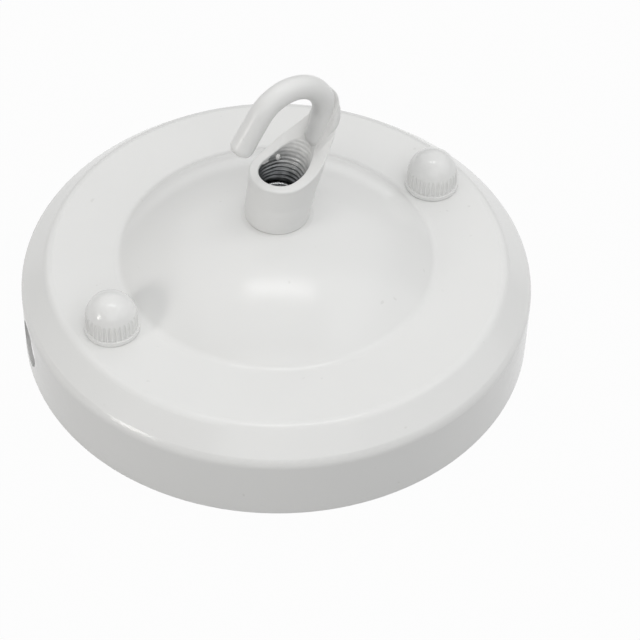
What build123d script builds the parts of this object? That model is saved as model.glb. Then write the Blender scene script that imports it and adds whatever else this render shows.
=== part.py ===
"""Ceiling canopy with a hook: a pressed steel pan, two cap nuts and the parts behind them.

Frame: the rim lies in the plane z = 0, +Z points away from the ceiling, the centre of the rim
is the origin, and the two cap nuts stand on the X axis. All sizes are millimetres.
"""

import os
from math import acos, asin, atan2, cos, degrees, radians, sin, sqrt, tan

from build123d import *

# Canopy: one pressed sheet with a skirt, a slanted shoulder, a flat ring and a shallow dome
canopy_radius = 60.0
sheet = 1.0
skirt_height = 16.4           # where the skirt's line meets the shoulder's line
ring_height = 22.5            # top face of the flat ring
shoulder_run = 6.4            # how far the shoulder comes in, from the skirt to the flat ring
skirt_bend = 3.2
shoulder_bend = 3.0
dome_foot_bend = 3.0          # where the dome rises from the flat ring
dome_curve_radius = 57.0
crown_radius = 8.4            # small flat on top of the dome, which the hook stands on
side_hole_diameter = 11.0     # cable entry through the skirt
side_hole_height = 8.8
side_hole_turn = 163.0        # direction of the hole, seen from above

# Hook: a threaded tube, cut away on one side, with a round wire hook welded to the tall side.
# Heights are over the crown.
socket_diameter = 15.0
nipple_thread = 9.9
thread_clearance = 0.05       # radial, in every threaded pair
lean_start = 2.0              # the outside begins to lean
lip_height = 12.8             # the low lip
lip_lean = 6.0
bore_overrun = 2.0            # how far the bore's cut passes the lip, so that it leaves no step
tongue_lean = 17.6
tongue_height = 30.5
tongue_straight = 5.5         # length below the top in which the tall side stands straight
tip_narrow = 6.5              # length below the top in which it is narrow
tip_half_width = 3.8
tip_round = 2.6
cut_start = -1.0              # distance from the axis at which the cut begins to climb
cut_low = (5.6, 2.6)          # a point of the cut, as distance from the axis and height over the lip
cut_high = (10.6, 9.9)        # a point of the cut, as distance from the axis and depth from the top
cut_end = 13.4                # distance from the axis at which the cut meets the top
cut_turn = 8.0
wire_diameter = 5.4
arch_radius = 9.4             # centre line of the wire
arch_offset = 2.8             # arch centre, from the axis
arch_height = 26.2
leg_foot_offset = 10.2
leg_foot_height = 16.5
tip_turn = 56.0               # how far the arch runs past its top before the straight tip
tip_length = 10.0
wire_end_round = 1.8

# Nipple, its washer and its lock nut, which clamp the dome's crown
nipple_bore = 7.8
nipple_reach = 5.6            # into the socket
nipple_length = 13.0
crown_hole_clearance = 0.25
nipple_washer_diameter = 15.0
nipple_washer_thickness = 1.0
nipple_nut_flats = 14.0
nipple_nut_thickness = 3.0

# Cap nuts and the studs that they run on
nut_outer_margin = 2.75       # from the cap nut's flange to the shoulder's line
nut_inner_margin = 0.06       # from the cap nut's flange to the bend at the dome's foot
stud_diameter = 5.0
stud_hole_clearance = 0.3
cap_flange_diameter = 12.7
cap_flange_height = 1.2
cap_flange_round = 0.4
cap_diameter = 11.9
cap_straight_height = 3.9     # where the flutes' cylinder turns into the dome
cap_flute_count = 32
cap_flute_radius = 0.42
cap_flute_depth = 0.3
cap_thread_depth = 5.6
stud_tip_gap = 0.6            # from the stud's end to the bottom of the cap's thread
stud_head_diameter = 9.2
stud_head_height = 2.8
lock_nut_flats = 8.0
lock_nut_thickness = 3.2

# Mounting bracket: a strap that lies on the ceiling, with raised ends for the studs
strap_end_margin = 7.5        # from a stud's centre to the end of the strap
strap_width = 16.0
strap_thickness = 1.5
strap_rise = 5.0
strap_raised_length = 15.5    # from a stud's centre to the bend
strap_joggle_length = 5.0
strap_corner_radius = 3.0
cable_hole_diameter = 11.0
slot_margin = 2.0             # from a slot's end to the bend
slot_length = 12.0
slot_width = 4.6
earth_screw_from_stud = 10.5
earth_screw_diameter = 4.0
earth_screw_length = 6.0
earth_head_diameter = 7.4
earth_head_height = 2.6
earth_washer_diameter = 9.0
earth_washer_thickness = 0.8
drive_slot_width = 1.0
drive_slot_depth = 1.2
edge_round = 0.3

os.makedirs("parts", exist_ok=True)

# Sizes that follow from the ones above
shoulder_inner_radius = canopy_radius - shoulder_run
stud_x = shoulder_inner_radius - nut_outer_margin - cap_flange_diameter / 2
foot_centre_radius = stud_x - cap_flange_diameter / 2 - nut_inner_margin
foot_curve_radius = dome_curve_radius + dome_foot_bend
foot_centre_height = ring_height + dome_foot_bend
dome_centre_height = foot_centre_height - sqrt(foot_curve_radius**2 - foot_centre_radius**2)
crown_height = dome_centre_height + sqrt(dome_curve_radius**2 - crown_radius**2)
crown_inside = crown_height - sheet
thread_bore = nipple_thread + 2 * thread_clearance
strap_top = strap_rise + strap_thickness
joggle_end = stud_x - strap_raised_length
strap_flat_half_length = joggle_end - strap_joggle_length
strap_half_length = stud_x + strap_end_margin
slot_x = strap_flat_half_length - slot_margin - slot_length / 2
earth_screw_x = stud_x - earth_screw_from_stud


def write(piece):
    """Writes one finished piece to its own file, under its own name."""
    export_step(piece, f"parts/{piece.label}.step")


# Canopy
# The pan is turned from its profile, from the rim up to the crown, and then hollowed to the
# thickness of the sheet. The dome is one arc, rounded where it rises from the flat ring.
foot_angle = asin(foot_centre_radius / foot_curve_radius)
foot_top = (
    dome_curve_radius * sin(foot_angle),
    dome_centre_height + dome_curve_radius * cos(foot_angle),
)
foot_middle = (
    foot_centre_radius - dome_foot_bend * sin(foot_angle / 2),
    foot_centre_height - dome_foot_bend * cos(foot_angle / 2),
)
dome_middle_angle = (foot_angle + asin(crown_radius / dome_curve_radius)) / 2
dome_middle = (
    dome_curve_radius * sin(dome_middle_angle),
    dome_centre_height + dome_curve_radius * cos(dome_middle_angle),
)
with BuildPart() as canopy:
    with BuildSketch(Plane.XZ):
        with BuildLine():
            skirt = FilletPolyline(
                (canopy_radius, 0),
                (canopy_radius, skirt_height),
                (shoulder_inner_radius, ring_height),
                (foot_centre_radius, ring_height),
                radius=(skirt_bend, shoulder_bend),
            )
            foot = ThreePointArc(skirt @ 1, foot_middle, foot_top)
            dome = ThreePointArc(foot @ 1, dome_middle, (crown_radius, crown_height))
            Line(dome @ 1, (0, crown_height))
            Line((0, crown_height), (0, 0))
            Line((0, 0), (canopy_radius, 0))
        make_face()
    revolve(axis=Axis.Z)
    offset(amount=-sheet, openings=canopy.faces().sort_by(Axis.Z)[0])
    with Locations((0, 0, crown_height)):
        Hole(nipple_thread / 2 + crown_hole_clearance, depth=2 * sheet)
    with Locations((-stud_x, 0, ring_height), (stud_x, 0, ring_height)):
        Hole(stud_diameter / 2 + stud_hole_clearance, depth=2 * sheet)
    side_way = Vector(1, 0, 0).rotate(Axis.Z, side_hole_turn)
    hole_foot = side_way * (canopy_radius - 2 * sheet) + Vector(0, 0, side_hole_height)
    with BuildSketch(Plane(origin=hole_foot, z_dir=side_way)):
        Circle(side_hole_diameter / 2)
    extrude(amount=4 * sheet, mode=Mode.SUBTRACT)
    rim = canopy.edges().group_by(Axis.Z)[0].sort_by(SortBy.LENGTH)[-1]
    fillet(rim, edge_round)
canopy.part.label = "canopy"
write(canopy.part)

# Wire hook
# A round bar: a leaning leg, an arch about a point over the crown, and a straight open tip.
# The leg runs tangent into the arch.
arch_centre = (arch_offset, crown_height + arch_height)
leg_foot = (leg_foot_offset, crown_height + leg_foot_height)
foot_from_arch = Vector(leg_foot[0] - arch_centre[0], leg_foot[1] - arch_centre[1])
tangent_angle = acos(arch_radius / foot_from_arch.length)
leg_angle = degrees(atan2(foot_from_arch.Y, foot_from_arch.X) + tangent_angle)
with BuildPart() as wire:
    with BuildLine(Plane.XZ) as wire_path:
        arch = CenterArc(arch_centre, arch_radius, leg_angle, 90 - leg_angle + tip_turn)
        Line(leg_foot, arch @ 0)
        PolarLine(arch @ 1, tip_length, 180 + tip_turn)
    leg_way = (arch @ 0 - Vector(leg_foot[0], 0, leg_foot[1])).normalized()
    with BuildSketch(Plane(origin=(leg_foot[0], 0, leg_foot[1]), z_dir=leg_way)):
        Circle(wire_diameter / 2)
    sweep(path=wire_path.line)
    tip_edge = wire.edges().filter_by(GeomType.CIRCLE).sort_by(Axis.X)[0]
    fillet(tip_edge, wire_end_round)


def leaning(radius, start, end, lean, shift=0.0, mode=Mode.ADD):
    """A round bar between two heights over the crown, which leans towards +X."""
    way = Vector(tan(radians(lean)), 0, 1) * (end - start)
    with BuildSketch(Plane((shift, 0, crown_height + start))) as disc:
        Circle(radius)
    extrude(disc.sketch, amount=way.length, dir=way.normalized(), mode=mode)


# Hook
# The socket is a tube whose far side leans out towards +X and then stands straight, as a tongue.
# The near side is cut off at the lip, and the cut climbs from there along the tongue. The wire
# is welded into the tongue's hollow and painted over, so that the whole is one piece.
outer_radius = socket_diameter / 2
inner_radius = thread_bore / 2
lip = crown_height + lip_height
tongue_top = crown_height + tongue_height
tip_start = tongue_top - tip_narrow
tongue_bend = tongue_height - tongue_straight
with BuildPart() as hook:
    leaning(outer_radius, 0, lean_start, 0)
    leaning(outer_radius, lean_start, lip_height, lip_lean)
    leaning(outer_radius, lean_start, tongue_bend, tongue_lean)
    outer_shift = (tongue_bend - lean_start) * tan(radians(tongue_lean))
    leaning(outer_radius, tongue_bend, tongue_height, 0, outer_shift)
    leaning(inner_radius, 0, nipple_reach, 0, mode=Mode.SUBTRACT)
    leaning(inner_radius, nipple_reach, lip_height + bore_overrun, lip_lean, mode=Mode.SUBTRACT)
    leaning(inner_radius, nipple_reach, tongue_bend, tongue_lean, mode=Mode.SUBTRACT)
    inner_shift = (tongue_bend - nipple_reach) * tan(radians(tongue_lean))
    leaning(inner_radius, tongue_bend, tongue_height, 0, inner_shift, mode=Mode.SUBTRACT)
    with BuildSketch(Plane.XZ.rotated((0, 0, cut_turn))):
        with BuildLine():
            cut = Spline(
                (cut_start, lip),
                (cut_low[0], lip + cut_low[1]),
                (cut_high[0], tongue_top - cut_high[1]),
                (cut_end, tongue_top),
                tangents=((1, 0), (0.1, 1)),
            )
            Polyline(
                cut @ 1,
                (-2 * socket_diameter, tongue_top),
                (-2 * socket_diameter, lip),
                cut @ 0,
            )
        make_face()
    extrude(amount=socket_diameter, both=True, mode=Mode.SUBTRACT)
    with BuildSketch(Plane.YZ):
        with BuildLine():
            FilletPolyline(
                (-socket_diameter, crown_height),
                (-tip_half_width, tip_start),
                (-tip_half_width, tongue_top),
                (tip_half_width, tongue_top),
                (tip_half_width, tip_start),
                (socket_diameter, crown_height),
                radius=tip_round,
                close=True,
            )
        make_face()
    extrude(amount=2 * socket_diameter, both=True, mode=Mode.INTERSECT)
    add(wire.part)
hook.part.label = "hook"
write(hook.part)

# Nipple
# A threaded tube through the crown. The cable runs through it.
with BuildPart() as threaded_nipple:
    with BuildSketch(Plane.XY.offset(crown_height + nipple_reach - nipple_length)):
        Circle(nipple_thread / 2)
        Circle(nipple_bore / 2, mode=Mode.SUBTRACT)
    extrude(amount=nipple_length)
    outer_ends = threaded_nipple.edges().filter_by(GeomType.CIRCLE).sort_by(SortBy.RADIUS)[-2:]
    chamfer(outer_ends, edge_round)
threaded_nipple.part.label = "threaded_nipple"
write(threaded_nipple.part)


def washer(label, diameter, hole, thickness, foot):
    """A flat washer whose lower face is centred on the point foot."""
    with BuildPart() as ring:
        with BuildSketch(Plane(foot)):
            Circle(diameter / 2)
            Circle(hole / 2, mode=Mode.SUBTRACT)
        extrude(amount=thickness)
    ring.part.label = label
    write(ring.part)


def hexagon_nut(label, flats, bore, thickness, foot):
    """A hexagon nut with turned-off corners, whose lower face is centred on the point foot."""
    corner = flats / sqrt(3)
    bevel = (corner - flats / 2) / 2
    with BuildPart() as nut:
        with BuildSketch(Plane(foot)):
            RegularPolygon(flats / 2, 6, major_radius=False)
        extrude(amount=thickness)
        with BuildSketch(Plane(origin=foot, x_dir=(1, 0, 0), z_dir=(0, -1, 0))):
            with BuildLine():
                Polyline(
                    (0, 0),
                    (flats / 2, 0),
                    (corner, bevel),
                    (corner, thickness - bevel),
                    (flats / 2, thickness),
                    (0, thickness),
                    close=True,
                )
            make_face()
        revolve(axis=Axis(foot, (0, 0, 1)), mode=Mode.INTERSECT)
        with BuildSketch(Plane(foot)):
            Circle(bore / 2)
        extrude(amount=thickness, mode=Mode.SUBTRACT)
    nut.part.label = label
    write(nut.part)


# Nipple washer and lock nut, under the crown
washer_foot = crown_inside - nipple_washer_thickness
washer(
    "nipple_washer",
    nipple_washer_diameter,
    nipple_thread + 2 * crown_hole_clearance,
    nipple_washer_thickness,
    (0, 0, washer_foot),
)
hexagon_nut(
    "nipple_lock_nut",
    nipple_nut_flats,
    thread_bore,
    nipple_nut_thickness,
    (0, 0, washer_foot - nipple_nut_thickness),
)

# Cap nuts, studs and stud lock nuts
# Each cap nut is turned: a thin flange, a short fluted cylinder and a half ball over it, with a
# drilled and tapped blind hole. The flutes run out in the ball. The nut's stud stands in the
# raised end of the bracket.
stud_bore = stud_diameter + 2 * thread_clearance
drill_tip = stud_bore / 2 / tan(radians(59))
flute_circle = cap_diameter / 2 + cap_flute_radius - cap_flute_depth
cap_top = cap_straight_height + cap_diameter / 2
for side, x in (("left", -stud_x), ("right", stud_x)):
    with BuildPart() as cap_nut:
        with BuildSketch(Plane(origin=(x, 0, ring_height), x_dir=(1, 0, 0), z_dir=(0, -1, 0))):
            with BuildLine():
                Polyline(
                    (0, cap_top),
                    (0, cap_thread_depth + drill_tip),
                    (stud_bore / 2, cap_thread_depth),
                    (stud_bore / 2, 0),
                    (cap_flange_diameter / 2, 0),
                    (cap_flange_diameter / 2, cap_flange_height),
                    (cap_diameter / 2, cap_flange_height),
                    (cap_diameter / 2, cap_straight_height),
                )
                CenterArc((0, cap_straight_height), cap_diameter / 2, 0, 90)
            make_face()
        revolve(axis=Axis((x, 0, 0), (0, 0, 1)))
        with BuildSketch(Plane((x, 0, ring_height + cap_flange_height))):
            with PolarLocations(flute_circle, cap_flute_count):
                Circle(cap_flute_radius)
        extrude(amount=cap_top, mode=Mode.SUBTRACT)
        fillet(cap_nut.edges().group_by(Axis.Z)[0].sort_by(SortBy.LENGTH)[-1], cap_flange_round)
    cap_nut.part.label = f"{side}_cap_nut"
    write(cap_nut.part)

    with BuildPart() as stud:
        with BuildSketch(Plane((x, 0, strap_rise))):
            Circle(stud_diameter / 2)
        extrude(amount=ring_height + cap_thread_depth - stud_tip_gap - strap_rise)
        chamfer(stud.edges().sort_by(Axis.Z)[-1], 2 * edge_round)
        with BuildSketch(Plane((x, 0, strap_rise))):
            Circle(stud_head_diameter / 2)
        extrude(amount=-stud_head_height)
        fillet(stud.edges().sort_by(Axis.Z)[0], 2 * edge_round)
        with BuildSketch(Plane((x, 0, strap_rise - stud_head_height))):
            Rectangle(drive_slot_width, stud_head_diameter)
        extrude(amount=drive_slot_depth, mode=Mode.SUBTRACT)
    stud.part.label = f"{side}_stud"
    write(stud.part)
    hexagon_nut(
        f"{side}_stud_lock_nut",
        lock_nut_flats,
        stud_bore,
        lock_nut_thickness,
        (x, 0, strap_top),
    )

# Mounting bracket
# A steel strap, bent up near both ends, with a hole for the cable, two slots for the ceiling
# screws, a clear hole for each stud and a tapped hole for the earth screw.
with BuildPart() as mounting_bracket:
    with BuildSketch(Plane.XZ):
        with BuildLine():
            FilletPolyline(
                (-strap_half_length, strap_rise + strap_thickness / 2),
                (-joggle_end, strap_rise + strap_thickness / 2),
                (-strap_flat_half_length, strap_thickness / 2),
                (strap_flat_half_length, strap_thickness / 2),
                (joggle_end, strap_rise + strap_thickness / 2),
                (strap_half_length, strap_rise + strap_thickness / 2),
                radius=1.5 * strap_thickness,
            )
        trace(line_width=strap_thickness)
    extrude(amount=strap_width / 2, both=True)
    fillet(
        mounting_bracket.edges().filter_by(Axis.Z).group_by(SortBy.LENGTH)[0],
        strap_corner_radius,
    )
    with BuildSketch():
        Circle(cable_hole_diameter / 2)
        with Locations((-slot_x, 0), (slot_x, 0)):
            SlotOverall(slot_length, slot_width)
        with Locations((-stud_x, 0), (stud_x, 0)):
            Circle(stud_bore / 2)
        with Locations((earth_screw_x, 0)):
            Circle(earth_screw_diameter / 2 + thread_clearance)
    extrude(amount=strap_top, mode=Mode.SUBTRACT)
mounting_bracket.part.label = "mounting_bracket"
write(mounting_bracket.part)

# Earth screw and its washer
washer(
    "earth_washer",
    earth_washer_diameter,
    earth_screw_diameter + 2 * stud_hole_clearance,
    earth_washer_thickness,
    (earth_screw_x, 0, strap_top),
)
head_foot = strap_top + earth_washer_thickness
with BuildPart() as earth_screw:
    with BuildSketch(Plane((earth_screw_x, 0, head_foot))):
        Circle(earth_screw_diameter / 2)
    extrude(amount=-earth_screw_length)
    chamfer(earth_screw.edges().sort_by(Axis.Z)[0], edge_round)
    with BuildSketch(Plane((earth_screw_x, 0, head_foot))):
        Circle(earth_head_diameter / 2)
    extrude(amount=earth_head_height)
    fillet(earth_screw.edges().sort_by(Axis.Z)[-1], 2 * edge_round)
    with BuildSketch(Plane((earth_screw_x, 0, head_foot + earth_head_height))):
        Rectangle(earth_head_diameter, drive_slot_width)
    extrude(amount=-drive_slot_depth, mode=Mode.SUBTRACT)
earth_screw.part.label = "earth_screw"
write(earth_screw.part)
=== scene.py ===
"""Looks of a white enamelled ceiling canopy with a hook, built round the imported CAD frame."""

import math

import bmesh
import bpy
from mathutils import Matrix, Vector, noise as hills


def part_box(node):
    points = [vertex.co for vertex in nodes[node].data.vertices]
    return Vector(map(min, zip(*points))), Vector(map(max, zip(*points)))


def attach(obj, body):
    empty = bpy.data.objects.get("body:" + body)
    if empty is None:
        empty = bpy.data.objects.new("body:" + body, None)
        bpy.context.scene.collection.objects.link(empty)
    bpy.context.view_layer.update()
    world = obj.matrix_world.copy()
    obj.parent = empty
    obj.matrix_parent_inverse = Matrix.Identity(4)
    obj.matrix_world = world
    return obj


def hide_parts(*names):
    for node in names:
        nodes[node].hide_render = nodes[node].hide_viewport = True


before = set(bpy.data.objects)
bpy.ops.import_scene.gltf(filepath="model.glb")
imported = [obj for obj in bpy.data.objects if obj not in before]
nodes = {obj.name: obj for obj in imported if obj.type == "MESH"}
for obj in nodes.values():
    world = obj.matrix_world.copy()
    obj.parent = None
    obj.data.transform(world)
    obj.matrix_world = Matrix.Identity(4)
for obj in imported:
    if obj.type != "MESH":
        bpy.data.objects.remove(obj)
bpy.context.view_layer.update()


# Pan
# One round pan pressed from 1 mm steel sheet: skirt, slanted shoulder, flat ring and dome. It is
# stove-enamelled white outside. Inside, the spray is thin and the zinc of the sheet shows through.
MM = 0.001
enamel_white = ((0.815, 0.817, 0.806), (0.832, 0.833, 0.822))
speck_grey = (0.66, 0.66, 0.64)
sheet_zinc = ((0.40, 0.41, 0.42), (0.56, 0.57, 0.58))
inside_depth = 20
inside_gain = -25
inside_metal = 0.55
inside_dullness = 0.18


def material(name):
    """A new node material, with its node tree, its shader and a short way to add nodes."""
    made = bpy.data.materials.new(name)
    made.use_nodes = True
    tree = made.node_tree

    def add(kind, **settings):
        node = tree.nodes.new(kind)
        for key, value in settings.items():
            setattr(node, key, value)
        return node

    return made, tree, tree.nodes["Principled BSDF"], add


def grain(tree, add, scale, detail=3.0, stretch=None):
    """A noise in the object's own coordinates, with its scale in cells per metre."""
    node = add("ShaderNodeTexNoise")
    node.inputs["Scale"].default_value = scale
    node.inputs["Detail"].default_value = detail
    place = add("ShaderNodeTexCoord").outputs["Object"]
    if stretch:
        mapping = add("ShaderNodeMapping")
        mapping.inputs["Scale"].default_value = stretch
        tree.links.new(place, mapping.inputs["Vector"])
        place = mapping.outputs["Vector"]
    tree.links.new(place, node.inputs["Vector"])
    return node.outputs["Fac"]


def ramp(tree, add, value, stops):
    """A colour ramp over a value. Each stop is a position and a grey or a colour."""
    node = add("ShaderNodeValToRGB")
    elements = node.color_ramp.elements
    while len(elements) < len(stops):
        elements.new(0.5)
    for element, (position, shade) in zip(elements, stops):
        element.position = position
        element.color = (*shade, 1) if isinstance(shade, tuple) else (shade, shade, shade, 1)
    tree.links.new(value, node.inputs["Fac"])
    return node.outputs["Color"]


def math_of(tree, add, operation, first, second):
    """One sum of two values, each an output or a number."""
    node = add("ShaderNodeMath", operation=operation)
    for socket, value in zip(node.inputs, (first, second)):
        if isinstance(value, (int, float)):
            socket.default_value = value
        else:
            tree.links.new(value, socket)
    return node.outputs[0]


def blended(tree, add, share, first, second):
    """A colour between two others, by a share from 0 to 1."""
    node = add("ShaderNodeMix", data_type="RGBA")
    tree.links.new(share, node.inputs["Factor"])
    for socket, value in ((node.inputs[6], first), (node.inputs[7], second)):
        if isinstance(value, tuple):
            socket.default_value = (*value, 1)
        else:
            tree.links.new(value, socket)
    return node.outputs[2]


def bumped(tree, add, shader, heights):
    """Puts a chain of bumps on the shader. Each is a height, a strength and a depth in metres."""
    normal = None
    for height, strength, depth in heights:
        bump = add("ShaderNodeBump")
        bump.inputs["Strength"].default_value = strength
        bump.inputs["Distance"].default_value = depth
        tree.links.new(height, bump.inputs["Height"])
        if normal:
            tree.links.new(normal, bump.inputs["Normal"])
        normal = bump.outputs["Normal"]
    tree.links.new(normal, shader.inputs["Normal"])


def thin_spray(tree, add, shader, white, dull):
    """Thins the enamel on the sheet's inner face, so that its zinc shows through in clouds.

    A face is an inner one when it looks back at a place under the rim, in the pan's middle.
    """
    normal = add("ShaderNodeNewGeometry").outputs["Normal"]
    from_below = add("ShaderNodeVectorMath", operation="ADD")
    from_below.inputs[1].default_value = (0, 0, inside_depth * MM)
    tree.links.new(add("ShaderNodeTexCoord").outputs["Object"], from_below.inputs[0])
    facing = add("ShaderNodeVectorMath", operation="DOT_PRODUCT")
    tree.links.new(normal, facing.inputs[0])
    tree.links.new(from_below.outputs[0], facing.inputs[1])
    inwards = math_of(tree, add, "MULTIPLY", facing.outputs["Value"], inside_gain)
    within = ramp(tree, add, inwards, [(0.88, 0.0), (0.98, 1.0)])
    thin = ramp(tree, add, grain(tree, add, 90, 6), [(0.40, 0.04), (0.72, 0.60)])
    share = math_of(tree, add, "MULTIPLY", within, thin)
    spangle = grain(tree, add, 260, 2, (1, 1, 0.3))
    zinc = ramp(tree, add, spangle, [(0.3, sheet_zinc[0]), (0.7, sheet_zinc[1])])
    white = blended(tree, add, share, white, zinc)
    tree.links.new(math_of(tree, add, "MULTIPLY", share, inside_metal), shader.inputs["Metallic"])
    dull = math_of(tree, add, "ADD", dull, math_of(tree, add, "MULTIPLY", within, inside_dullness))
    return white, dull


def enamel(name, gloss, peel_depth, inside=False):
    """White stove enamel: an orange peel, a little unevenness of tone, and specks of dust."""
    made, tree, shader, add = material(name)
    cloud = grain(tree, add, 35, 4)
    white = ramp(tree, add, cloud, [(0.30, enamel_white[0]), (0.70, enamel_white[1])])
    speck = ramp(tree, add, grain(tree, add, 420, 1), [(0.77, 0.0), (0.81, 0.4)])
    white = blended(tree, add, speck, white, speck_grey)
    dull = ramp(tree, add, grain(tree, add, 700, 2), [(0.35, gloss), (0.75, gloss + 0.08)])
    if inside:
        white, dull = thin_spray(tree, add, shader, white, dull)
    tree.links.new(white, shader.inputs["Base Color"])
    tree.links.new(dull, shader.inputs["Roughness"])
    peel = grain(tree, add, 420, 2)
    wave = grain(tree, add, 60, 1)
    bumped(tree, add, shader, [(wave, 0.08, 3 * peel_depth), (peel, 0.03, peel_depth)])
    return made


def wear(node, made):
    """Gives a CAD node its finished material."""
    for slot in nodes[node].material_slots:
        slot.material = made


wear("canopy", enamel("pan enamel", 0.17, 0.00012, inside=True))


# Hook socket
# A steel tube with an M10 x 1 thread inside. One side is cut away on a slant down to the lip, and
# the other is drawn out to a leaning tongue. The enamel runs over every edge and a little way in.
weld_distance = 0.002


def grid(name, rows, wall, turns=160, joined=True, marked=False):
    """A closed skin of rows round an axis. The wall gives the place of a row at one turn.

    In a marked skin each face keeps its row as its material number.
    """
    mesh = bpy.data.meshes.new(name)
    shape = bmesh.new()
    rings = [
        [shape.verts.new(Vector(wall(math.tau * step / turns, row)) * MM) for step in range(turns)]
        for row in range(rows)
    ]
    for row in range(rows if joined else rows - 1):
        lower, upper = rings[row], rings[(row + 1) % rows]
        for step in range(turns):
            after = (step + 1) % turns
            face = shape.faces.new((lower[step], lower[after], upper[after], upper[step]))
            face.smooth = True
            if marked:
                face.material_index = row
    bmesh.ops.remove_doubles(shape, verts=shape.verts, dist=weld_distance * MM)
    bmesh.ops.recalc_face_normals(shape, faces=shape.faces)
    shape.to_mesh(mesh)
    shape.free()
    piece = bpy.data.objects.new(name, mesh)
    bpy.context.scene.collection.objects.link(piece)
    return piece


def ease(value):
    """A smooth step from 0 to 1."""
    value = min(1.0, max(0.0, value))
    return value * value * (3 - 2 * value)


def ridge(turn, height, pitch):
    """How far a thread's ridge stands at this turn and height, from 0 in the root to 1.

    The wave is stretched and cut off, which gives the thread a flat crest and a flat root.
    """
    wave = 0.5 - 0.5 * math.cos(math.tau * (height / pitch - turn / math.tau))
    return min(1.0, max(0.0, 1.5 * wave - 0.25))


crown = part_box("canopy")[1].z / MM
outer_radius = 7.5
bore_radius = 5.0
lip_height = 12.8
tongue_top = 30.5
tongue_bend = 25.0
near_lean = 6.0
middle_lean = 10.0
far_lean = 17.6
lean_blend = 0.3
outer_start = 2.0
nipple_reach = 5.6
tip_flat = 1.2
tip_round = 2.6
tip_width = 3.8
tip_shoulder = 24.0
flank_foot = 15.0
cut_path = ((-1.0, lip_height), (5.6, 15.4), (10.6, 20.6), (13.4, tongue_top))
cut_ways = ((7.0, 0.0), (5.8, 3.9), (3.9, 7.5), (1.0, 11.0))
cut_turn = math.radians(8.0)
thread_pitch = 1.0
thread_depth = 0.46


def lean(height, start, degrees):
    """How far a leaning side has moved towards +X at a height over the crown."""
    return math.tan(math.radians(degrees)) * max(0.0, min(height, tongue_bend) - start)


def side(turn, height, radius, start):
    """A point of the socket's wall. Its far side leans out more than the near side."""
    near, far = lean(height, start, near_lean), lean(height, start, far_lean)
    share = ease((math.cos(turn) + lean_blend) / (2 * lean_blend))
    return near + (far - near) * share + radius * math.cos(turn), radius * math.sin(turn)


cut_line = []
cut_steps = 20
for step in range(3 * cut_steps):
    part = step // cut_steps
    along = step / cut_steps - part
    ends = cut_path[part], cut_ways[part], cut_path[part + 1], cut_ways[part + 1]
    weights = (
        2 * along**3 - 3 * along**2 + 1,
        along**3 - 2 * along**2 + along,
        3 * along**2 - 2 * along**3,
        along**3 - along**2,
    )
    cut_line.append([
        sum(weight * end[axis] for weight, end in zip(weights, ends)) for axis in (0, 1)
    ])
cut_line.append(list(cut_path[-1]))


def cut_height(across):
    """Height of the slanting cut at a distance from the axis."""
    if across <= cut_line[0][0]:
        return lip_height
    for (x0, h0), (x1, h1) in zip(cut_line, cut_line[1:]):
        if across <= x1:
            return h0 + (h1 - h0) * (across - x0) / (x1 - x0)
    return tongue_top


def tip_height(y):
    """Height of the tongue's rounded, narrow top over a distance from its middle."""
    width = abs(y)
    if width > tip_width:
        return (flank_foot - width) * tip_shoulder / (flank_foot - tip_width)
    if width > tip_flat:
        drop = math.sqrt(max(0.0, tip_round**2 - (width - tip_flat) ** 2))
        return tongue_top - tip_round + drop
    return tongue_top


halvings = 30


def rim_height(turn, radius, start):
    """Height of the wall's end at one turn, where it meets the cut or the tongue's top."""
    low, high = lip_height - 1.0, tongue_top
    for _ in range(halvings):
        middle = (low + high) / 2
        x, y = side(turn, middle, radius, start)
        if middle < cut_height(x * math.cos(cut_turn) + y * math.sin(cut_turn)):
            low = middle
        else:
            high = middle
    return min(high, tip_height(radius * math.sin(turn)))


rim_round_out = 0.55
rim_round_in = 0.40
thread_start = 5.7
thread_runout = 0.5
thread_step = 0.125
thread_steps = 131
plain_start = 23.0
plain_steps = 8
spray_fill = 0.86
spray_low = 8.5
spray_rise = 4.5
spray_least = 0.2
spray_ragged = 1.6
fade_start = 20
fade_run = 2
tube_ripple = 0.15
tube_allowance = 0.06
foot_draw = 0.3
foot_height = 0.35
thread_rows = [0.0, thread_start]
thread_rows += [thread_start + thread_step * step for step in range(1, thread_steps + 1)]
thread_rows += [plain_start + step for step in range(plain_steps)]
round_steps = 5
outer_rows = 48
rim_cache = {}


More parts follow.
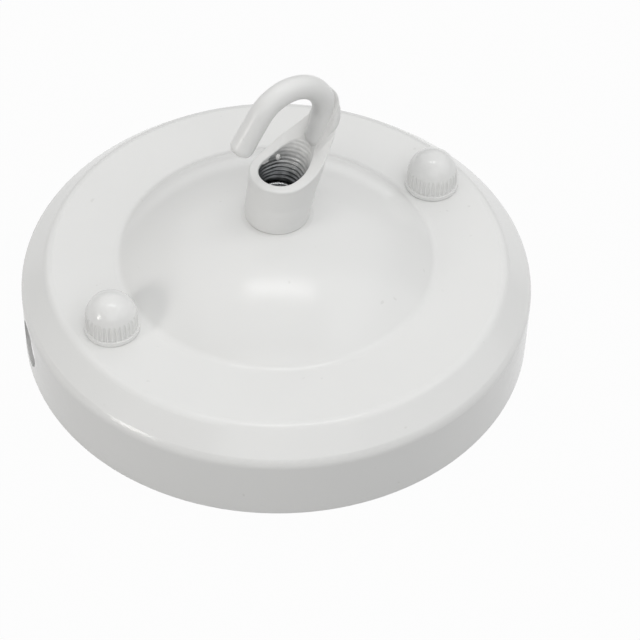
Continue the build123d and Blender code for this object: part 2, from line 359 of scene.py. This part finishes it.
def socket_wall(turn, row):
    """A point of the socket's skin: up the threaded bore, over the rim and down the outside."""
    if turn not in rim_cache:
        inner_top = rim_height(turn, bore_radius, nipple_reach)
        outer_top = rim_height(turn, outer_radius, outer_start)
        rim_cache[turn] = inner_top, outer_top
    inner_top, outer_top = rim_cache[turn]
    edge_in = Vector((*side(turn, inner_top, bore_radius, nipple_reach), inner_top))
    edge_out = Vector((*side(turn, outer_top, outer_radius, outer_start), outer_top))
    across = (edge_out - edge_in).normalized()
    if row < len(thread_rows):
        height = min(thread_rows[row], inner_top - rim_round_in)
        depth = thread_depth * ease((height - thread_start) / thread_runout)
        depth *= 1 - spray_fill * ease((height - spray_low) / spray_rise)
        depth *= ease((inner_top - rim_round_in - height) / thread_runout)
        depth *= 1 - ease((height - fade_start) / fade_run)
        radius = bore_radius - depth * ridge(turn, height, thread_pitch)
        return (*side(turn, height, radius, nipple_reach), crown + height)
    row -= len(thread_rows)
    if row < 2 * round_steps:
        inner = row < round_steps
        share = (row % round_steps) / (round_steps - 1)
        if inner:
            low = inner_top - rim_round_in
            start = Vector((*side(turn, low, bore_radius, nipple_reach), low))
            corner, end = edge_in, edge_in + across * rim_round_in
        else:
            low = outer_top - rim_round_out
            start, corner = edge_out - across * rim_round_out, edge_out
            end = Vector((*side(turn, low, outer_radius, outer_start), low))
        point = start * (1 - share) ** 2 + corner * 2 * share * (1 - share) + end * share**2
        return point.x, point.y, crown + point.z
    row -= 2 * round_steps
    share = (row + 1) / outer_rows
    height = (outer_top - rim_round_out) * (1 - share)
    spot = Vector((0.5 * math.cos(turn), 0.5 * math.sin(turn), height * 0.45))
    radius = outer_radius - tube_allowance + tube_ripple * hills.noise(spot)
    radius -= foot_draw * ease((foot_height - height) / foot_height)
    return (*side(turn, height, radius, outer_start), crown + height)


socket_rows = len(thread_rows) + 2 * round_steps + outer_rows
socket = grid("hook_socket", socket_rows, socket_wall, marked=True)
for face in socket.data.polygons:
    place = face.center / MM
    height = place.z - crown
    turn = math.atan2(place.y, place.x - lean(height, nipple_reach, middle_lean))
    spot = Vector((5 * turn, place.z * 0.5, 4.0))
    run = spray_least + spray_ragged * max(0.0, hills.noise(spot))
    bare = height < rim_height(turn, bore_radius, nipple_reach) - rim_round_in - run
    face.material_index = 1 if bare and face.material_index < len(thread_rows) - 1 else 0

spray_drift = 5
spray_slant = 0.55
# Painted shade: the bare thread turns almost black towards the bottom of the bore, up to about 7
# mm over the crown.
bore_shade_top = 7.0
spray_start = 13.0
spray_full = 22.0
deep_bore_shade = (0.035, 0.036, 0.038)
hook_enamel = enamel("hook enamel", 0.285, 0.00006)
made, tree, shader, add = material("bare thread")
place = add("ShaderNodeSeparateXYZ")
tree.links.new(add("ShaderNodeTexCoord").outputs["Object"], place.inputs[0])
drift = math_of(tree, add, "MULTIPLY", grain(tree, add, 500, 3), spray_drift * MM)
level = math_of(tree, add, "ADD", place.outputs["Z"], drift)
slant = math_of(tree, add, "MULTIPLY", place.outputs["X"], spray_slant)
level = math_of(tree, add, "ADD", level, slant)
sprayed = add("ShaderNodeMapRange")
sprayed.inputs["From Min"].default_value = (crown + spray_start) * MM
sprayed.inputs["From Max"].default_value = (crown + spray_full) * MM
tree.links.new(level, sprayed.inputs["Value"])
# Share of the cut steel's own tone over the painted shade deep in the bore, rising from 7 to 13 mm
# over the crown.
out_of_bore_shade = add("ShaderNodeMapRange")
out_of_bore_shade.inputs["From Min"].default_value = (crown + bore_shade_top) * MM
out_of_bore_shade.inputs["From Max"].default_value = (crown + spray_start) * MM
tree.links.new(level, out_of_bore_shade.inputs["Value"])
turning = grain(tree, add, 700, 3)
cut_steel = ramp(tree, add, turning, [(0.3, (0.16, 0.165, 0.17)), (0.7, (0.30, 0.31, 0.32))])
cut_steel = blended(tree, add, out_of_bore_shade.outputs[0], deep_bore_shade, cut_steel)
spray = blended(tree, add, sprayed.outputs[0], cut_steel, enamel_white[0])
tree.links.new(spray, shader.inputs["Base Color"])
metal = ramp(tree, add, sprayed.outputs[0], [(0.0, 1.0), (0.7, 0.0)])
tree.links.new(metal, shader.inputs["Metallic"])
dull = ramp(tree, add, grain(tree, add, 900, 2), [(0.3, 0.28), (0.7, 0.46)])
tree.links.new(dull, shader.inputs["Roughness"])
bumped(tree, add, shader, [(grain(tree, add, 1500, 2), 0.3, 0.00005)])
socket.data.materials.append(hook_enamel)
socket.data.materials.append(made)
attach(socket, "hook")
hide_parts("hook")


# Hook wire
# A 5.4 mm steel bar, bent round to an open hook and welded into the tongue's hollow. Its free
# end is rounded. The same enamel covers the wire and the weld.
bar_swell = 0.012


def bar(name, path, turns=48):
    """A round bar along a path in the XZ plane. Each point of the path has its radius."""
    def wall(turn, row):
        x, z, radius = path[row]
        ahead, behind = path[min(row + 1, len(path) - 1)], path[max(row - 1, 0)]
        way = Vector((ahead[0] - behind[0], 0, ahead[1] - behind[1])).normalized()
        swell = 1 + bar_swell * hills.noise(Vector((x, z, math.cos(turn))) * 0.35)
        out = Vector((-way.z, 0, way.x)) * math.cos(turn) + Vector((0, math.sin(turn), 0))
        point = Vector((x, 0, z)) + radius * swell * out
        return point.x, point.y, crown + point.z

    return grid(name, len(path), wall, turns, joined=False)


wire_radius = 2.7
arch = (2.8, 26.2)
arch_radius = 9.4
foot = (10.2, 16.5)
tip_turn = 56
tip_length = 10.0
end_round = 1.8
buried_steps = 3
leg_steps = 15
arch_steps = 70
tip_steps = 16
end_steps = 12

reach_x, reach_z = foot[0] - arch[0], foot[1] - arch[1]
leg_turn = math.atan2(reach_z, reach_x) + math.acos(arch_radius / math.hypot(reach_x, reach_z))
end_turn = math.radians(90 + tip_turn)
tip_way = (math.cos(math.radians(180 + tip_turn)), math.sin(math.radians(180 + tip_turn)))


def on_arch(turn):
    """A point of the wire's arch."""
    return arch[0] + arch_radius * math.cos(turn), arch[1] + arch_radius * math.sin(turn)


def on_tip(along):
    """A point of the straight tip, at a distance from the arch's end."""
    tip_foot = on_arch(end_turn)
    return tip_foot[0] + tip_way[0] * along, tip_foot[1] + tip_way[1] * along


leg_top = on_arch(leg_turn)
wire_path = [(0.3, -1.3, 0.0), (0.3, -1.2, 0.8), (0.3, -0.2, 1.5), (0.35, 0.8, 2.15)]
wire_path = [(foot[0] + x, foot[1] + z, radius) for x, z, radius in wire_path]
for step in range(buried_steps, leg_steps):
    share = step / leg_steps
    wire_path.append((
        foot[0] + (leg_top[0] - foot[0]) * share,
        foot[1] + (leg_top[1] - foot[1]) * share,
        wire_radius,
    ))
for step in range(arch_steps + 1):
    turn = leg_turn + (end_turn - leg_turn) * step / arch_steps
    wire_path.append((*on_arch(turn), wire_radius))
for step in range(1, tip_steps + 1):
    wire_path.append((*on_tip((tip_length - end_round) * step / tip_steps), wire_radius))
for step in range(1, end_steps + 1):
    swing = math.radians(90 * step / end_steps)
    radius = wire_radius - end_round * (1 - math.cos(swing))
    wire_path.append((*on_tip(tip_length - end_round * (1 - math.sin(swing))), radius))
wire_path.append((wire_path[-1][0], wire_path[-1][1], 0.0))
wire = bar("hook_wire", wire_path)
wire.data.materials.append(hook_enamel)
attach(wire, "hook")


bead_lump = 0.13
seam_lump = 0.22
seam_rows = 64
seam_radius = 1.15
seam_out = 0.40
seam_aside = 0.25
corner_least = 0.5


def weld(name, centre, size, seed, slant=0.0):
    """A rounded, lumpy bead of weld metal under the enamel, which may lean towards +X."""
    mesh = bpy.data.meshes.new(name)
    shape = bmesh.new()
    bmesh.ops.create_icosphere(shape, subdivisions=4, radius=1.0)
    for vert in shape.verts:
        lump = 1 + bead_lump * hills.noise(vert.co * 1.6 + Vector((seed, 0, 0)))
        place = Vector(vert.co[i] * size[i] for i in range(3)) * lump
        place.x += place.z * slant
        vert.co = (Vector(centre) + place) * MM
    for face in shape.faces:
        face.smooth = True
    shape.to_mesh(mesh)
    shape.free()
    bead = bpy.data.objects.new(name, mesh)
    bpy.context.scene.collection.objects.link(bead)
    mesh.materials.append(hook_enamel)
    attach(bead, "hook")


weld_foot = (foot[0] + 0.5, 0.0, crown + foot[1] + 1.1)
bead_foot = (foot[0] - 1.0, 1.7, crown + foot[1] + 2.9)
drop_foot = (3.2, 4.75, crown + 12.1)
weld("hook_weld", weld_foot, size=(2.3, 2.8, 2.5), seed=3.0, slant=0.2)
weld("hook_weld_bead", bead_foot, size=(0.9, 0.8, 1.2), seed=8.0, slant=0.23)
weld("hook_enamel_drop", drop_foot, size=(0.6, 0.5, 0.85), seed=6.0)


def seam(name, hand, low, high, seed):
    """A weld seam up the corner between the wire's leg and one side of the tongue's cut face."""
    def wall(turn, row):
        share = row / (seam_rows - 1)
        height = low + (high - low) * share
        spans = zip(cut_line, cut_line[1:])
        (x0, h0), (x1, h1) = next(span for span in spans if height <= span[1][1])
        face = x0 + (x1 - x0) * (height - h0) / (h1 - h0)
        middle = foot[0] + (leg_top[0] - foot[0]) * (height - foot[1]) / (leg_top[1] - foot[1])
        if height > leg_top[1]:
            middle = arch[0] + math.sqrt(arch_radius**2 - (height - arch[1]) ** 2)
        corner = hand * math.sqrt(max(corner_least, wire_radius**2 - (face - middle) ** 2))
        lump = 1 + seam_lump * hills.noise(Vector((seed, height * 0.45, math.sin(turn))))
        radius = seam_radius * math.sin(math.pi * share) ** 0.5 * lump
        x = (face - corner * math.sin(cut_turn)) / math.cos(cut_turn) + seam_out
        y = corner + hand * seam_aside
        return x + radius * math.cos(turn), y + radius * math.sin(turn), crown + height

    bead = grid(name, seam_rows, wall, 32, joined=False)
    bead.data.materials.append(hook_enamel)
    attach(bead, "hook")


seam("hook_weld_near", hand=-1, low=18.3, high=28.8, seed=5.0)
seam("hook_weld_far", hand=1, low=18.3, high=28.8, seed=9.0)


# Nipple
# A short M10 x 1 steel tube through the crown, zinc plated and bright. Its end shows in the bore.
def turned(name, profile, pitch=1.0, centre=(0, 0), turns=96):
    """A turned piece from its closed profile, whose points are radius, height and thread depth."""
    def wall(turn, row):
        radius, height, depth = profile[row]
        radius -= depth * (1 - ridge(turn, height, pitch))
        return centre[0] + radius * math.cos(turn), centre[1] + radius * math.sin(turn), height

    return grid(name, len(profile), wall, turns)


def thread_run(radius, low, high, depth, pitch, step=0.1):
    """The rows of a thread between two heights, which fades in and out at its ends."""
    rows = []
    count = round((high - low) / step)
    for index in range(count + 1):
        height = low + (high - low) * index / count
        fade = ease(min(height - low, high - height) / pitch)
        rows.append((radius, height, depth * fade))
    return rows


def steel(name, dark, light, gloss, scale=600, stretch=None):
    """Plated or bare steel: a fine uneven tone, hair scratches and a roughness that varies."""
    made, tree, shader, add = material(name)
    tone = ramp(tree, add, grain(tree, add, scale, 4, stretch), [(0.3, dark), (0.7, light)])
    tree.links.new(tone, shader.inputs["Base Color"])
    shader.inputs["Metallic"].default_value = 1.0
    fine = grain(tree, add, 2 * scale, 3, stretch)
    dull = ramp(tree, add, fine, [(0.3, gloss), (0.75, gloss + 0.16)])
    tree.links.new(dull, shader.inputs["Roughness"])
    scratches = grain(tree, add, 3 * scale, 2, (0.08, 1.0, 1.0))
    dents = grain(tree, add, 150, 2)
    bumped(tree, add, shader, [(scratches, 0.2, 0.00003), (dents, 0.1, 0.00010)])
    return made


bright_zinc = steel("bright zinc", (0.58, 0.59, 0.60), (0.74, 0.75, 0.75), 0.22)
nipple_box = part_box("threaded_nipple")
nipple_bore = 3.9
nipple_face = 4.55
nipple_radius = 4.95
nipple_depth = 0.52
low, high = nipple_box[0].z / MM, nipple_box[1].z / MM
nipple = turned("nipple_thread", [
    (nipple_bore, low, 0.0),
    (nipple_bore, high - 0.25, 0.0),
    (nipple_bore + 0.2, high, 0.0),
    (nipple_face, high, 0.0),
    *reversed(thread_run(nipple_radius, low + 0.3, high - 0.3, nipple_depth, thread_pitch)),
    (nipple_face, low, 0.0),
])
nipple.data.materials.append(bright_zinc)
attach(nipple, "canopy")
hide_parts("threaded_nipple")
wear("nipple_washer", bright_zinc)
wear("nipple_lock_nut", bright_zinc)


# Cap nuts
# Two turned nuts with a thin flange, a fluted grip and a ball top, in white enamel like the pan.
# Each one screws down on a stud and holds the pan on its strap.
nut_enamel = enamel("nut enamel", 0.14, 0.00005)
wear("left_cap_nut", nut_enamel)
wear("right_cap_nut", nut_enamel)


# Studs
# Two M5 slotted screws stand in the raised ends of the strap, held by thin lock nuts. They are
# zinc plated and threaded from the head to the end.
def slotted(piece, centre, size):
    """Saws a drive slot across a screw's head."""
    mesh = bpy.data.meshes.new("saw")
    shape = bmesh.new()
    bmesh.ops.create_cube(shape, size=1.0)
    for vert in shape.verts:
        vert.co = (Vector(centre) + Vector(vert.co[i] * size[i] for i in range(3))) * MM
    shape.to_mesh(mesh)
    shape.free()
    saw = bpy.data.objects.new("saw", mesh)
    bpy.context.scene.collection.objects.link(saw)
    cut = piece.modifiers.new("slot", "BOOLEAN")
    cut.object = saw
    cut.solver = "EXACT"
    graph = bpy.context.evaluated_depsgraph_get()
    carved = bpy.data.meshes.new_from_object(piece.evaluated_get(graph))
    piece.modifiers.clear()
    piece.data = carved
    bpy.data.objects.remove(saw)


screw_zinc = steel("screw zinc", (0.50, 0.51, 0.53), (0.68, 0.69, 0.70), 0.26)
stud_place = 44.5
stud_radius = 2.5
stud_pitch = 0.8
stud_depth = 0.46
head_radius = 4.6
head_height = 2.8
slot_size = (1.0, 12.0, 2.4)
for name, x in (("left", -stud_place), ("right", stud_place)):
    low, high = (corner.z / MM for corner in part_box(f"{name}_stud"))
    stud = turned(f"{name}_stud_screw", [
        (0.05, low, 0.0),
        (4.0, low, 0.0),
        (4.43, low + 0.17, 0.0),
        (head_radius, low + 0.6, 0.0),
        (head_radius, low + head_height - 0.1, 0.0),
        (head_radius - 0.1, low + head_height, 0.0),
        (stud_radius, low + head_height, 0.0),
        *thread_run(stud_radius, low + head_height + 0.1, high - 0.6, stud_depth, stud_pitch),
        (stud_radius - 0.6, high, 0.0),
        (0.05, high, 0.0),
    ], stud_pitch, (x, 0), 64)
    slotted(stud, (x, 0, low), slot_size)
    stud.data.materials.clear()
    stud.data.materials.append(screw_zinc)
    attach(stud, "canopy")
    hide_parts(f"{name}_stud")
    wear(f"{name}_stud_lock_nut", bright_zinc)


# Strap
# A bent strip of galvanised steel with a hole for the cable and two slots for the ceiling
# screws. The zinc has a dull, spangled face.
strap_zinc = ((0.46, 0.47, 0.48), (0.64, 0.65, 0.66))
wear("mounting_bracket", steel("galvanised strap", *strap_zinc, 0.34, 240, (0.5, 1, 1)))


# Earth screw
# A slotted brass screw with a brass washer, for the earth wire. It is turned, and only a little
# tarnished.
earth_brass = steel("earth brass", (0.56, 0.40, 0.16), (0.78, 0.60, 0.28), 0.24)
wear("earth_screw", earth_brass)
wear("earth_washer", earth_brass)


# Floor, lights and camera
# A pale floor, which keeps the shadow and turns white to the camera, soft lamps over the pan and
# to both sides, and the camera at the photograph's angle.
view_turn = math.radians(33.6)
view_rise = math.radians(46.03)
view_roll = math.radians(0.74)
view_distance = 0.563
frame_px = 640
focal_px = 2338.7
axis_px = (275.85, 320.3)
sensor_width = 36
floor_glow = 0.97
sky_strength = 0.33

right = Vector((math.cos(view_turn), -math.sin(view_turn), 0))
away = Vector((math.sin(view_turn), math.cos(view_turn), 0))
up = Vector((0, 0, 1))

floor_size = 3.0
floor_drop = 0.0001
floor_mesh = bpy.data.meshes.new("floor")
shape = bmesh.new()
bmesh.ops.create_grid(shape, x_segments=8, y_segments=8, size=floor_size)
shape.to_mesh(floor_mesh)
shape.free()
floor = bpy.data.objects.new("floor", floor_mesh)
floor.location = (0, 0, -floor_drop)
bpy.context.scene.collection.objects.link(floor)
made, tree, shader, add = material("floor paper")
fibre = ramp(tree, add, grain(tree, add, 900, 2), [(0.3, 0.32), (0.7, 0.34)])
tree.links.new(fibre, shader.inputs["Base Color"])
shader.inputs["Roughness"].default_value = 0.9
glow = add("ShaderNodeEmission")
glow.inputs["Strength"].default_value = 1.0
mix = add("ShaderNodeMixShader")
path = add("ShaderNodeLightPath")
seen = math_of(tree, add, "MAXIMUM", path.outputs["Is Camera Ray"], path.outputs["Is Glossy Ray"])
seen = math_of(tree, add, "MAXIMUM", seen, path.outputs["Is Transmission Ray"])
tree.links.new(math_of(tree, add, "MULTIPLY", seen, floor_glow), mix.inputs["Fac"])
tree.links.new(shader.outputs[0], mix.inputs[1])
tree.links.new(glow.outputs[0], mix.inputs[2])
tree.links.new(mix.outputs[0], tree.nodes["Material Output"].inputs["Surface"])
floor_mesh.materials.append(made)

world = bpy.data.worlds.new("studio")
bpy.context.scene.world = world
world.use_nodes = True
tree = world.node_tree
background = tree.nodes["Background"]
background.inputs["Color"].default_value = (1, 1, 1, 1)
path = tree.nodes.new("ShaderNodeLightPath")
seen = tree.nodes.new("ShaderNodeMath")
seen.operation = "MAXIMUM"
tree.links.new(path.outputs["Is Camera Ray"], seen.inputs[0])
tree.links.new(path.outputs["Is Transmission Ray"], seen.inputs[1])
strength = tree.nodes.new("ShaderNodeMapRange")
strength.inputs["To Min"].default_value = sky_strength
strength.inputs["To Max"].default_value = 1.0
tree.links.new(seen.outputs[0], strength.inputs["Value"])
tree.links.new(strength.outputs["Result"], background.inputs["Strength"])


def softbox(name, place, width, depth, power, tint=(1.0, 1.0, 1.0)):
    """A soft lamp that faces the middle of the canopy."""
    lamp = bpy.data.lights.new(name, "AREA")
    lamp.shape = "RECTANGLE"
    lamp.size = width
    lamp.size_y = depth
    lamp.energy = power
    lamp.color = tint
    holder = bpy.data.objects.new(name, lamp)
    holder.location = place
    back = place.normalized()
    side_way = (right - back * back.dot(right)).normalized()
    holder.rotation_euler = Matrix((side_way, back.cross(side_way), back)).transposed().to_euler()
    bpy.context.scene.collection.objects.link(holder)


def toward(rightwards, backwards, upwards):
    """A place in metres from the canopy's middle, along the picture's right, depth and height."""
    return right * rightwards + away * backwards + up * upwards


warm = (1.0, 0.98, 0.95)
cool = (0.99, 0.995, 1.0)
softbox("overhead", toward(0.05, 0.35, 1.0), width=2.0, depth=2.0, power=6.1)
softbox("ceiling lamp", toward(0.03, 0.01, 1.0), width=0.55, depth=0.14, power=1.0)
softbox("left lamp", toward(-0.80, -0.54, 0.35), width=0.28, depth=0.28, power=1.8, tint=warm)
softbox("right lamp", toward(0.90, -0.18, 0.70), width=1.2, depth=1.2, power=2.9, tint=cool)
softbox("front lamp", toward(0.10, -0.90, 0.75), width=1.0, depth=0.8, power=2.5)

view = bpy.data.cameras.new("camera")
view.sensor_width = sensor_width
view.lens = sensor_width * focal_px / frame_px
view.shift_x = (frame_px / 2 - axis_px[0]) / frame_px
view.shift_y = (axis_px[1] - frame_px / 2) / frame_px
view.clip_start = 0.01
camera = bpy.data.objects.new("camera", view)
bpy.context.scene.collection.objects.link(camera)
back = -away * math.cos(view_rise) + up * math.sin(view_rise)
turn = back.to_track_quat("Z", "Y").to_matrix().to_4x4() @ Matrix.Rotation(view_roll, 4, "Z")
camera.matrix_world = Matrix.Translation(back * view_distance) @ turn
bpy.context.scene.camera = camera
bpy.context.scene.view_settings.view_transform = "Standard"
